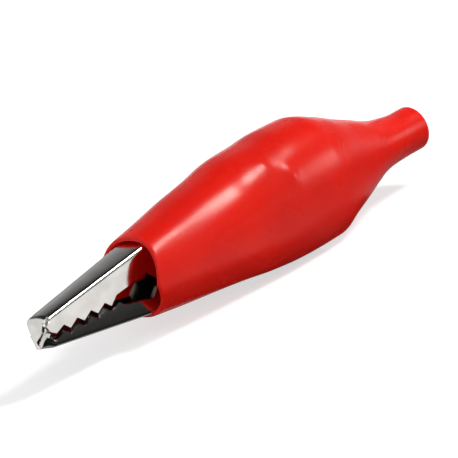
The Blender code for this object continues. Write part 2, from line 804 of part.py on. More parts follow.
def boot_rings():
    """Outer rings from the mouth to the tail."""
    top, bottom, side = boot_profile()
    rings = []
    lowest = 3 * BOOT_SIDES // 4
    straight = CLIP_LENGTH - TAIL_STRAIGHT
    places = [lerp(MOUTH_X, straight, i / BOOT_RINGS) for i in range(BOOT_RINGS + 1)]
    for x in places + [CLIP_LENGTH]:
        high = smooth_along(top, x)
        low = -smooth_along(bottom, x)
        half = smooth_along(side, x)
        ring = []
        for i in range(BOOT_SIDES):
            angle = 2 * math.pi * i / BOOT_SIDES
            across = math.cos(angle)
            up = math.sin(angle)
            power = 2 / squareness_at(x, up < 0)
            y = math.copysign(abs(across) ** power, across) * half
            z = math.copysign(abs(up) ** power, up) * (high if up > 0 else low)
            if i == lowest:
                z *= 1 - BELLY_FLUTE
            ring.append((x + slant_at(x) * z, y, z))
        rings.append(ring)
    return rings


def boot(parts, rings):
    points = [p for ring in rings for p in ring]
    faces = loft_faces(len(rings), BOOT_SIDES)
    obj = mesh_object("boot", points, faces, parts)
    wall = obj.modifiers.new("wall", "SOLIDIFY")
    wall.thickness = BOOT_WALL * MM
    wall.offset = -1.0
    wall.use_even_offset = True
    smooth(obj, 60)
    return obj


def stand_on_ground(parts, cutters, moving, drop):
    """Hang every piece on one empty, and the moving jaw on an empty at its hinge."""
    base = bpy.data.objects.new("clip_base", None)
    base.location = (-CLIP_LENGTH / 2 * MM, 0.0, drop * MM)
    hinge = bpy.data.objects.new("jaw_hinge", None)
    hinge.location = (PIVOT_X * MM, 0.0, PIVOT_Z * MM)
    hinge.parent = base
    for obj in list(parts.objects) + list(cutters.objects):
        obj.parent = base
    moving.parent = hinge
    moving.location = (-PIVOT_X * MM, 0.0, -PIVOT_Z * MM)
    parts.objects.link(base)
    parts.objects.link(hinge)


def main():
    clear_scene()
    parts = new_collection("crocodile_clip")
    cutters = new_collection("cutters")
    rivet_hole = cylinder("rivet_hole", RIVET_RADIUS + PIN_CLEARANCE, FLANGE_REACH,
                          (PIVOT_X, 0.0, PIVOT_Z), "Y", cutters)
    steel = (0.62, 0.62, 0.6)
    jaw = upper_jaw(parts, cutters, rivet_hole)
    jaw.data.materials.append(material("nickel_plated_upper", steel, 0.18, 1.0))
    shank = lower_jaw(parts, cutters, rivet_hole)
    shank.data.materials.append(material("nickel_plated_lower", steel, 0.18, 1.0))
    pin = rivet(parts)
    pin.data.materials.append(material("nickel_plated_rivet", steel, 0.25, 1.0))
    spring = torsion_spring(parts)
    spring.data.materials.append(material("spring_wire", (0.45, 0.45, 0.44), 0.3, 1.0))
    screw = terminal_screw(parts, cutters)
    screw.data.materials.append(material("nickel_plated_screw", steel, 0.25, 1.0))
    rings = boot_rings()
    sleeve = boot(parts, rings)
    sleeve.data.materials.append(material("red_soft_pvc", (0.76, 0.011, 0.006), 0.35, 0.0))
    for obj in cutters.objects:
        hide_cutter(obj)
    drop = -min(z for ring in rings for _, _, z in ring)
    stand_on_ground(parts, cutters, jaw, drop)


main()
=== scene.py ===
"""Looks of an insulated crocodile clip: bright nickel-plated jaws in a soft red boot.

Sizes are in millimetres in the clip's own frame: x runs from the foremost point of the
nose to the cable tail, y across the clip and z up, both from the clip's long axis. Place
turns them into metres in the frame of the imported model.
"""

import logging
import math
from dataclasses import dataclass, field
from enum import Enum

import bpy
import numpy as np
from mathutils import Matrix, Vector


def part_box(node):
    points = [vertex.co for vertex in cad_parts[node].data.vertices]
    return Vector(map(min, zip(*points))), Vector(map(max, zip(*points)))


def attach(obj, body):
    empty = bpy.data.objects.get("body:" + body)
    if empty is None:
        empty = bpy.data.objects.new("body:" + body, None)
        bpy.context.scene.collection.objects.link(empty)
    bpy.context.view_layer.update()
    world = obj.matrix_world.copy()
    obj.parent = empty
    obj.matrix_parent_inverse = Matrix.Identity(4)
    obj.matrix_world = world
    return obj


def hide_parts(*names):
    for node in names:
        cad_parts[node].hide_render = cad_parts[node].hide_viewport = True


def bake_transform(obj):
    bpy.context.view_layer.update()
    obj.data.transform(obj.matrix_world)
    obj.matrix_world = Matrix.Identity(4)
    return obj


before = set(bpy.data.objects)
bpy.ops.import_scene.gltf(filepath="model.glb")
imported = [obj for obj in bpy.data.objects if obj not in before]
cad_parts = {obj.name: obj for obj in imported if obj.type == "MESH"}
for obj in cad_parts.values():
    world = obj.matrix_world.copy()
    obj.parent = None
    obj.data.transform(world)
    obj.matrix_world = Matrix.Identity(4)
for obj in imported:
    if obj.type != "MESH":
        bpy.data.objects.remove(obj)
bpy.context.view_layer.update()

LOG = logging.getLogger("crocodile_clip")
LOWER_BODY = "lower_body"
UPPER_BODY = "upper_body"
Pair = tuple[float, float]
Stations = tuple[Pair, ...]
Triple = tuple[float, float, float]
Route = tuple[Triple, ...]


class Place:
    """The clip's own frame, in millimetres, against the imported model's, in metres."""

    LENGTH = 54.0
    PIVOT_X = 20.0
    MM = 0.001

    @staticmethod
    def axis_height() -> float:
        """Height of the clip's long axis over the ground, in millimetres."""
        low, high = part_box("pivot_rivet")
        return (low[2] + high[2]) / 2 / Place.MM

    @staticmethod
    def world(points: np.ndarray) -> np.ndarray:
        """Turn points of the clip's frame into metres.

        Args:
            points: An array whose last axis is x, y, z in millimetres.

        Returns:
            The same array in metres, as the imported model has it.
        """
        shift = np.array([-Place.LENGTH / 2, 0.0, Place.axis_height()])
        return (np.asarray(points, dtype=float) + shift) * Place.MM


class Curve:
    """Smooth functions through a few stations."""

    @staticmethod
    def through(stations: Stations, x: np.ndarray) -> np.ndarray:
        """Value of a smooth curve that never passes its stations' values.

        Between two stations it is the cubic whose slopes at them are the harmonic mean
        of the slopes on either side, or level where those have opposite signs.

        Args:
            stations: Pairs of place and value, in rising order of place.
            x: The places asked for.

        Returns:
            The values at x.
        """
        place = np.array([s[0] for s in stations])
        value = np.array([s[1] for s in stations])
        slope = np.diff(value) / np.diff(place)
        product = slope[:-1] * slope[1:]
        total = np.where(np.abs(slope[:-1] + slope[1:]) < 1e-9, 1.0, slope[:-1] + slope[1:])
        inner = np.where(product > 0, 2 * product / total, 0.0)
        tangent = np.concatenate([slope[:1], inner, slope[-1:]])
        i = np.clip(np.searchsorted(place, x, side="right") - 1, 0, len(place) - 2)
        span = place[i + 1] - place[i]
        t = np.clip((x - place[i]) / span, 0.0, 1.0)
        return (value[i] * (1 + 2 * t) * (1 - t) ** 2 + value[i + 1] * t * t * (3 - 2 * t)
                + span * t * (1 - t) * (tangent[i] * (1 - t) - tangent[i + 1] * t))

    @staticmethod
    def bell(distance: np.ndarray) -> np.ndarray:
        """Bell of height 1 at distance 0 that has all but died out at distance 2."""
        return np.exp(-distance ** 2)

    @staticmethod
    def window(x: np.ndarray, start: float, end: float, soft: float) -> np.ndarray:
        """1 between start and end, easing to 0 outside over the soft distance."""
        rise = 1 / (1 + np.exp(-4 * (x - start) / soft))
        fall = 1 / (1 + np.exp(4 * (x - end) / soft))
        return rise * fall


class Surface:
    """Meshes from grids of points."""

    @staticmethod
    def numbers(points: np.ndarray) -> np.ndarray:
        """Numbers of a grid's points, row by row, of shape (rows, columns)."""
        rows, columns = points.shape[:2]
        return np.arange(rows * columns).reshape(rows, columns)

    @staticmethod
    def faces(index: np.ndarray) -> np.ndarray:
        """Faces between neighbours in a grid of vertex numbers.

        Args:
            index: Array of shape (rows, columns).

        Returns:
            Array of shape (rows - 1, columns - 1, 4).
        """
        return np.stack([index[:-1, :-1], index[:-1, 1:], index[1:, 1:], index[1:, :-1]], axis=-1)

    @staticmethod
    def grid(name: str, points: np.ndarray, closed_u: bool, closed_v: bool,
             flip: bool = False) -> bpy.types.Object:
        """Object whose faces join neighbouring points of a grid.

        Args:
            name: Name of the object and its mesh.
            points: Array of shape (v, u, 3) in millimetres.
            closed_u: Whether the last column joins the first.
            closed_v: Whether the last row joins the first.
            flip: Whether to turn the faces over.

        Returns:
            The object, at the origin, with smooth faces.
        """
        index = Surface.numbers(points)
        if closed_v:
            index = np.concatenate([index, index[:1]], axis=0)
        if closed_u:
            index = np.concatenate([index, index[:, :1]], axis=1)
        quads = Surface.faces(index).reshape(-1, 4)
        quads = quads[:, ::-1] if flip else quads
        return Surface.object(name, Place.world(points.reshape(-1, 3)), quads)

    @staticmethod
    def object(name: str, points: np.ndarray, quads: np.ndarray) -> bpy.types.Object:
        """Object from points in metres and four-cornered faces, with smooth shading."""
        mesh = bpy.data.meshes.new(name)
        mesh.vertices.add(len(points))
        mesh.vertices.foreach_set("co", points.astype(np.float32).ravel())
        mesh.loops.add(quads.size)
        mesh.loops.foreach_set("vertex_index", quads.astype(np.int32).ravel())
        mesh.polygons.add(len(quads))
        mesh.polygons.foreach_set("loop_start", np.arange(0, quads.size, 4, dtype=np.int32))
        mesh.polygons.foreach_set("use_smooth", np.ones(len(quads), dtype=bool))
        mesh.update(calc_edges=True)
        mesh.validate()
        obj = bpy.data.objects.new(name, mesh)
        bpy.context.scene.collection.objects.link(obj)
        return obj


def linear(hex_colour: str) -> tuple[float, float, float, float]:
    """Linear colour with full alpha of an sRGB colour written as six hex digits."""
    parts = [int(hex_colour[i:i + 2], 16) / 255 for i in (0, 2, 4)]
    values = [c / 12.92 if c <= 0.04045 else ((c + 0.055) / 1.055) ** 2.4 for c in parts]
    return (values[0], values[1], values[2], 1.0)


class Nodes:
    """One material's node tree, built a node at a time."""

    def __init__(self, name: str) -> None:
        """Start an empty tree with its surface shader and output."""
        self.material = bpy.data.materials.new(name)
        self.material.use_nodes = True
        self.tree = self.material.node_tree
        self.tree.nodes.clear()
        self.output = self.add("ShaderNodeOutputMaterial")
        self.shader = self.add("ShaderNodeBsdfPrincipled")
        self.join(self.shader.outputs["BSDF"], self.output.inputs["Surface"])
        self.coordinates = self.add("ShaderNodeTexCoord").outputs["Object"]

    def add(self, kind: str, settings: dict[str, object] | None = None,
            inputs: dict[str, object] | None = None) -> bpy.types.Node:
        """Add a node.

        Args:
            kind: The node's type.
            settings: Values of its properties.
            inputs: Values of its sockets, or sockets to link to them.

        Returns:
            The new node.
        """
        node = self.tree.nodes.new(kind)
        for key, value in (settings or {}).items():
            setattr(node, key, value)
        for key, value in (inputs or {}).items():
            socket = node.inputs[key]
            if isinstance(value, bpy.types.NodeSocket):
                self.join(value, socket)
            else:
                socket.default_value = value
        return node

    def join(self, source: bpy.types.NodeSocket, target: bpy.types.NodeSocket) -> None:
        """Link one socket to another."""
        self.tree.links.new(source, target)

    def stretched(self, per_mm: Triple) -> bpy.types.NodeSocket:
        """Object coordinates scaled so that one unit is one repeat, per millimetre."""
        scale = tuple(value / Place.MM for value in per_mm)
        mapping = self.add("ShaderNodeMapping", {}, {"Vector": self.coordinates, "Scale": scale})
        return mapping.outputs["Vector"]

    def noise(self, per_mm: Triple, detail: float = 2.0,
              roughness: float = 0.5) -> bpy.types.NodeSocket:
        """Noise whose features repeat about so often in each millimetre."""
        node = self.add("ShaderNodeTexNoise", {}, {
            "Vector": self.stretched(per_mm), "Scale": 1.0, "Detail": detail, "Roughness": roughness})
        return node.outputs["Fac"]

    def ranged(self, value: bpy.types.NodeSocket, low: float, high: float,
               start: float = 0.3, end: float = 0.7) -> bpy.types.NodeSocket:
        """Value eased from low to high as it goes from start to end."""
        node = self.add("ShaderNodeMapRange", {"interpolation_type": "SMOOTHSTEP"}, {
            "Value": value, "From Min": start, "From Max": end, "To Min": low, "To Max": high})
        return node.outputs["Result"]

    def mixed(self, share: bpy.types.NodeSocket, first: object, second: object) -> bpy.types.NodeSocket:
        """Colour between two colours or sockets."""
        node = self.add("ShaderNodeMix", {"data_type": "RGBA"})
        self.join(share, node.inputs["Factor"])
        for socket, value in ((node.inputs[6], first), (node.inputs[7], second)):
            if isinstance(value, bpy.types.NodeSocket):
                self.join(value, socket)
            else:
                socket.default_value = value
        return node.outputs[2]

    def bump(self, height: bpy.types.NodeSocket, depth_mm: float,
             below: bpy.types.NodeSocket | None = None) -> bpy.types.NodeSocket:
        """Normal of a surface raised by a height map.

        Args:
            height: The map, from 0 to 1.
            depth_mm: How far 1 stands over 0, in millimetres.
            below: The normal of a coarser relief that this one lies on.

        Returns:
            The normal.
        """
        inputs: dict[str, object] = {"Height": height, "Distance": depth_mm * Place.MM, "Strength": 1.0}
        if below is not None:
            inputs["Normal"] = below
        return self.add("ShaderNodeBump", {}, inputs).outputs["Normal"]


@dataclass(frozen=True)
class NickelPlate:
    """Bright nickel plate on stamped sheet steel.

    The plate follows the rolled sheet under it, so it mirrors its surroundings, a little
    blurred along the rolling lines, and is a warmer white than chrome.
    """

    name: str
    light: str = "D3D1CE"
    dark: str = "C6C4C0"
    roughness: float = 0.07
    pitted: float = 0.06
    grain_mm: float = 0.006
    # Repeats in each millimetre: tone that varies over 2 mm, rolling lines 0.07 mm apart
    # and pits 0.11 mm wide. Real lines and pits are finer, too fine to show in the render.
    clouds: Triple = (0.5, 0.7, 0.7)
    lines: Triple = (0.6, 14.0, 14.0)
    pits: Triple = (9.0, 9.0, 9.0)

    def build(self) -> bpy.types.Material:
        """Metal with faint rolling lines along the sheet and a slightly uneven polish."""
        nodes = Nodes(self.name)
        cloud = nodes.noise(self.clouds, 3.0)
        lines = nodes.noise(self.lines, 3.0, 0.6)
        pits = nodes.noise(self.pits, 2.0)
        colour = nodes.mixed(nodes.ranged(cloud, 0.0, 1.0), linear(self.light), linear(self.dark))
        nodes.join(colour, nodes.shader.inputs["Base Color"])
        nodes.shader.inputs["Metallic"].default_value = 1.0
        polish = nodes.ranged(pits, self.roughness, self.roughness + self.pitted)
        nodes.join(polish, nodes.shader.inputs["Roughness"])
        relief = nodes.bump(lines, self.grain_mm * 0.3)
        nodes.join(nodes.bump(pits, self.grain_mm * 0.5, relief), nodes.shader.inputs["Normal"])
        return nodes.material


@dataclass(frozen=True)
class SoftVinyl:
    """Soft red vinyl with a satin skin.

    It is dip-moulded, so the skin is even and softly shiny, and light enters it a little
    before it comes back red.
    """

    name: str
    light: str = "EA1D10"
    dark: str = "DE170E"
    roughness: float = 0.27
    specular: float = 0.2
    tint: tuple[float, float, float, float] = (1.0, 0.9, 0.8, 1.0)
    scatter: float = 0.6
    scatter_mm: float = 1.2
    scatter_colour: Triple = (1.0, 0.25, 0.15)
    # Repeats in each millimetre: tone that varies over 7 mm, orange peel 0.4 mm wide and
    # specks 0.14 mm wide.
    clouds: Triple = (0.12, 0.16, 0.16)
    peel: Triple = (2.4, 2.4, 2.4)
    specks: Triple = (7.0, 7.0, 7.0)
    peel_mm: float = 0.006
    speck_mm: float = 0.0015

    def build(self) -> bpy.types.Material:
        """Red that varies faintly, over a fine orange-peel skin."""
        nodes = Nodes(self.name)
        cloud = nodes.noise(self.clouds, 3.0)
        peel = nodes.noise(self.peel, 2.0)
        specks = nodes.noise(self.specks, 2.0)
        colour = nodes.mixed(nodes.ranged(cloud, 0.0, 1.0), linear(self.light), linear(self.dark))
        nodes.join(colour, nodes.shader.inputs["Base Color"])
        polish = nodes.ranged(cloud, self.roughness - 0.03, self.roughness + 0.05)
        nodes.join(polish, nodes.shader.inputs["Roughness"])
        nodes.shader.inputs["Specular IOR Level"].default_value = self.specular
        nodes.shader.inputs["Specular Tint"].default_value = self.tint
        nodes.shader.inputs["Subsurface Weight"].default_value = self.scatter
        nodes.shader.inputs["Subsurface Radius"].default_value = self.scatter_colour
        nodes.shader.inputs["Subsurface Scale"].default_value = self.scatter_mm * Place.MM
        relief = nodes.bump(peel, self.peel_mm)
        nodes.join(nodes.bump(specks, self.speck_mm, relief), nodes.shader.inputs["Normal"])
        return nodes.material


@dataclass(frozen=True)
class Bulge:
    """A soft form on both sides of the boot, where it lies over what is inside.

    It runs from one end to the other as a ridge, or as a hollow if its height is below
    zero; a short one is a knuckle. Angles are in degrees round the section, from +y
    towards +z.
    """

    start: Pair
    end: Pair
    height: float
    spread: float
    soft: float = 1.6

    def lift(self, x: np.ndarray, angle: np.ndarray) -> np.ndarray:
        """How far it lifts the surface.

        Along x the height eases in and out over the soft distance; round the section it is
        a bell about the line between its two ends, mirrored to the other side.

        Args:
            x: Places along the clip, of shape (rings, 1).
            angle: Angles round the section in degrees, of shape (1, columns).

        Returns:
            Array of shape (rings, columns).
        """
        run = max(self.end[0] - self.start[0], 1e-6)
        share = np.clip((x - self.start[0]) / run, 0.0, 1.0)
        centre = self.start[1] + (self.end[1] - self.start[1]) * share
        near = Curve.bell((angle - centre) / self.spread)
        far = Curve.bell((((180.0 - angle) % 360.0) - centre) / self.spread)
        return self.height * Curve.window(x, self.start[0], self.end[0], self.soft) * (near + far)


@dataclass
class Boot:
    """The soft boot: an oval sleeve from its slanted mouth to the cable tail.

    Its wall is thinner from thin_from to thin_to, where the screw needs room to travel.
    A point of the mouth moves back by its height times the slant, so that a slant_below
    under zero leans the lower half back too; both fade out at slant_end. The stations of
    top, bottom and side are the outer surface's distance from the axis, and belly's the
    oval's exponent below it. bend_line runs from what stays with the lower jaw to what
    goes with the upper one.
    """

    wall: float = 0.45
    thin_wall: float = 0.3
    thin_from: float = 28.0
    thin_to: float = 31.0
    thin_ease: float = 2.0
    squareness: float = 2.3
    slant_above: float = 0.38
    slant_below: float = -0.22
    slant_end: float = 24.0
    round_from: float = 37.5
    neck: float = 49.2
    end: float = 54.0
    bore: float = 1.65
    columns: int = 144
    rows: int = 170
    lip_steps: int = 8
    top: Stations = (
        (12.6, 4.08), (16.0, 4.62), (20.0, 5.3), (24.0, 5.85), (28.0, 6.58), (31.0, 6.72),
        (34.0, 6.97), (37.5, 6.92), (40.07, 6.13), (43.0, 4.85), (45.46, 3.88), (47.45, 3.06),
        (49.2, 2.6), (52.4, 2.2), (54.0, 2.2))
    bottom: Stations = (
        (12.6, 3.5), (16.0, 3.8), (20.0, 4.05), (24.0, 4.34), (28.0, 4.8), (31.0, 5.03),
        (34.0, 5.12), (37.5, 5.09), (40.07, 4.34), (43.0, 3.66), (45.46, 2.98), (47.45, 2.49),
        (49.2, 2.3), (52.4, 2.2), (54.0, 2.2))
    side: Stations = (
        (12.6, 3.87), (16.0, 4.3), (20.0, 4.79), (24.0, 5.1), (28.0, 5.35), (31.0, 5.5),
        (34.0, 5.4), (37.5, 5.2), (40.07, 4.7), (43.0, 3.9), (45.46, 3.2), (47.45, 2.69),
        (49.2, 2.45), (52.4, 2.2), (54.0, 2.2))
    belly: Stations = ((12.6, 2.15), (20.0, 2.5), (27.0, 3.0))
    bend_line: Route = ((20.0, 0.0, -2.5), (18.8, 0.0, 5.3))
    bulges: tuple[Bulge, ...] = (
        Bulge((13.0, 149.0), (25.5, 133.0), -0.12, 18.0),
        Bulge((28.6, 129.0), (29.4, 129.0), 0.13, 10.0, 0.8),
        Bulge((30.7, 151.0), (31.7, 151.0), 0.24, 10.0, 0.9),
    )

    def power(self, x: np.ndarray, belly: bool) -> np.ndarray:
        """Exponent of the oval: it falls from the sleeve's to a plain circle's at the neck."""
        start = np.interp(x, *np.array(self.belly).T) if belly else np.full_like(x, self.squareness)
        share = np.clip((x - self.round_from) / (self.neck - self.round_from), 0.0, 1.0)
        return start + (2.0 - start) * share

    def ring(self, x: np.ndarray, inset: np.ndarray) -> np.ndarray:
        """Rings of the sleeve.

        Each is an oval |y/a|^n + |z/b|^n = 1 whose half width a and half height b are the
        sleeve's at x less the inset, moved out along its radius by the bulges. Each point
        moves along x by its height times the slant, and b, n and the slant differ above
        and below the axis.

        Args:
            x: Place of each ring.
            inset: How far each ring lies inside the outer surface.

        Returns:
            Array of shape (rings, columns, 3).
        """
        angle = 2 * math.pi * (np.arange(self.columns) + 0.5) / self.columns
        across, up = np.cos(angle)[None, :], np.sin(angle)[None, :]
        above = up > 0
        high = Curve.through(self.top, x)
        low = Curve.through(self.bottom, x)
        half = (Curve.through(self.side, x) - inset)[:, None]
        height = np.where(above, (high - inset)[:, None], (low - inset)[:, None])
        power = 2 / np.where(above, self.power(x, False)[:, None], self.power(x, True)[:, None])
        y = np.sign(across) * np.abs(across) ** power * half
        z = np.sign(up) * np.abs(up) ** power * height
        lift = sum(bulge.lift(x[:, None], np.degrees(angle)[None, :]) for bulge in self.bulges)
        away = np.maximum(np.hypot(y, z), 1e-6)
        y, z = y * (1 + lift / away), z * (1 + lift / away)
        fade = np.clip((self.slant_end - x) / (self.slant_end - self.top[0][0]), 0, 1)[:, None]
        slant = fade * np.where(z > 0, self.slant_above, self.slant_below)
        return np.stack([x[:, None] + slant * z, y, z], axis=-1)

    def build(self) -> bpy.types.Object:
        """The sleeve as one closed surface.

        Its profile runs out of the tail's bore, round the tail's end, along the outside to
        the mouth, round the lip and back along the inside, and closes on itself.
        """
        start = self.top[0][0]
        lip = self.wall / 2
        bend = np.linspace(0, math.pi, self.lip_steps + 1)[1:-1]
        outer_x = np.linspace(self.end, start, self.rows)
        inner_x = np.linspace(start, self.end, self.rows // 2)
        tail_wall = self.side[-1][1] - self.bore
        walls = Curve.through([(start, self.wall), (self.thin_from - self.thin_ease, self.wall),
                               (self.thin_from, self.thin_wall), (self.thin_to, self.thin_wall),
                               (self.round_from, self.wall), (self.neck, tail_wall),
                               (self.end, tail_wall)], inner_x)
        x = np.concatenate([outer_x, start - lip * np.sin(bend), inner_x])
        inset = np.concatenate([np.zeros(self.rows), lip * (1 - np.cos(bend)), walls])
        rings = self.ring(x, inset)
        return Surface.grid("boot_sleeve", rings, True, True, True)

    def dress(self, sleeve: bpy.types.Object) -> None:
        """Give the sleeve its vinyl, hide the CAD boot and bake the sleeve's place into its mesh."""
        sleeve.data.materials.append(SoftVinyl("red_soft_vinyl").build())
        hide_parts("boot")
        low, high = Place.world(np.array(self.bend_line))
        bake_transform(sleeve)


@dataclass
class FoldedSheet:
    """A strip of sheet metal folded down, or up, along both sides of its web.

    Its columns stand at most a step apart, and each section has its rows on the flange,
    the fold and the web.
    """

    name: str
    sheet: float
    step: float = 0.22
    flange_rows: int = 7
    fold_rows: int = 8
    web_rows: int = 12
    edge_round: float = 0.07
    edge_segments: int = 3

    def section(self, x: np.ndarray, half: np.ndarray, web_z: np.ndarray, radius: np.ndarray,
                edge_z: np.ndarray, crown: float,
                flare: float | np.ndarray = 0.0) -> np.ndarray:
        """Half sections of the sheet, from the near flange's edge to the web's middle.

        Each is a straight flange at half width, a quarter circle of the fold's radius and
        a web that rises by the crown to its middle as a parabola.

        Args:
            x: Place of each column.
            half: Outer half width at each column.
            web_z: Height of the web's outside at each column.
            radius: Outer radius of the fold at each column.
            edge_z: Height of the flange's edge at each column.
            crown: How far the web's middle stands out.
            flare: How far the flange spreads for each millimetre of its height.

        Returns:
            Array of shape (rows, columns, 3), on the side where y is negative.
        """
        away = np.sign(web_z - edge_z)
        bend_z = web_z - away * radius
        flange = np.linspace(1, 0, self.flange_rows + 1)[:, None]
        flange_z = bend_z + (edge_z - bend_z) * flange
        flange_y = -half[None, :] - flare * np.abs(flange_z - bend_z)
        angle = np.linspace(0, math.pi / 2, self.fold_rows + 1)[1:, None]
        fold_y = -(half - radius) - radius * np.cos(angle)
        fold_z = bend_z + away * radius * np.sin(angle)
        share = np.linspace(1, 0, self.web_rows // 2 + 1)[1:, None]
        web_y = -(half - radius) * share
        web_height = web_z + away * crown * (1 - share ** 2)
        y = np.concatenate([flange_y, fold_y, web_y])
        z = np.concatenate([flange_z, fold_z, web_height])
        return np.stack([np.broadcast_to(x, y.shape), y, z], axis=-1)

    def whole(self, half_points: np.ndarray) -> np.ndarray:
        """Both halves of the strip from its near half, which ends on the middle line."""
        mirrored = half_points[-2::-1] * np.array([1.0, -1.0, 1.0])
        return np.concatenate([half_points, mirrored])

    def make(self, points: np.ndarray, kept: np.ndarray, flip: bool) -> bpy.types.Object:
        """Object from the strip's outer surface, given its thickness and broken edges.

        Args:
            points: Outer surface, of shape (rows, columns, 3).
            kept: Which faces there are, of shape (rows - 1, columns - 1).
            flip: Whether to turn the faces over so that they point outwards.

        Returns:
            The object.
        """
        quads = Surface.faces(Surface.numbers(points))[kept]
        quads = quads[:, ::-1] if flip else quads
        used, place = np.unique(quads, return_inverse=True)
        flat = Place.world(points.reshape(-1, 3))[used]
        obj = Surface.object(self.name, flat, place.reshape(quads.shape))
        wall = obj.modifiers.new("thickness", "SOLIDIFY")
        wall.thickness = self.sheet * Place.MM
        wall.offset = -1.0
        edges = obj.modifiers.new("broken_edges", "BEVEL")
        edges.limit_method = "ANGLE"
        edges.angle_limit = math.radians(50)
        edges.width = self.edge_round * Place.MM
        edges.segments = self.edge_segments
        edges.harden_normals = True
        return obj


class Columns:
    """Places of the columns of a strip."""

    @staticmethod
    def between(corners: np.ndarray, step: float) -> np.ndarray:
        """The corners of an outline and evenly spread places between them.

        Args:
            corners: Places that should have a column, in any order; of those nearer to each
                other than a third of the step, the first is kept.
            step: The widest gap between columns.

        Returns:
            All the places, in rising order.
        """
        apart = [float(corners.min())]
        for place in np.sort(corners):
            if place - apart[-1] > step / 3:
                apart.append(float(place))
        corners = np.array(apart)
        counts = np.maximum(np.ceil(np.diff(corners) / step).astype(int), 1)
        parts = [np.linspace(a, b, n, endpoint=False) for a, b, n in zip(corners, corners[1:], counts)]
        return np.concatenate([*parts, corners[-1:]])


def ear_arc(start: float, end: float, radius: float = 2.3, steps: int = 16) -> list[Pair]:
    """Points of the round ear about the pivot, from one angle to another in degrees."""
    angles = np.radians(np.linspace(start, end, steps + 1))
    return [(float(Place.PIVOT_X + radius * np.cos(a)), float(radius * np.sin(a))) for a in angles]


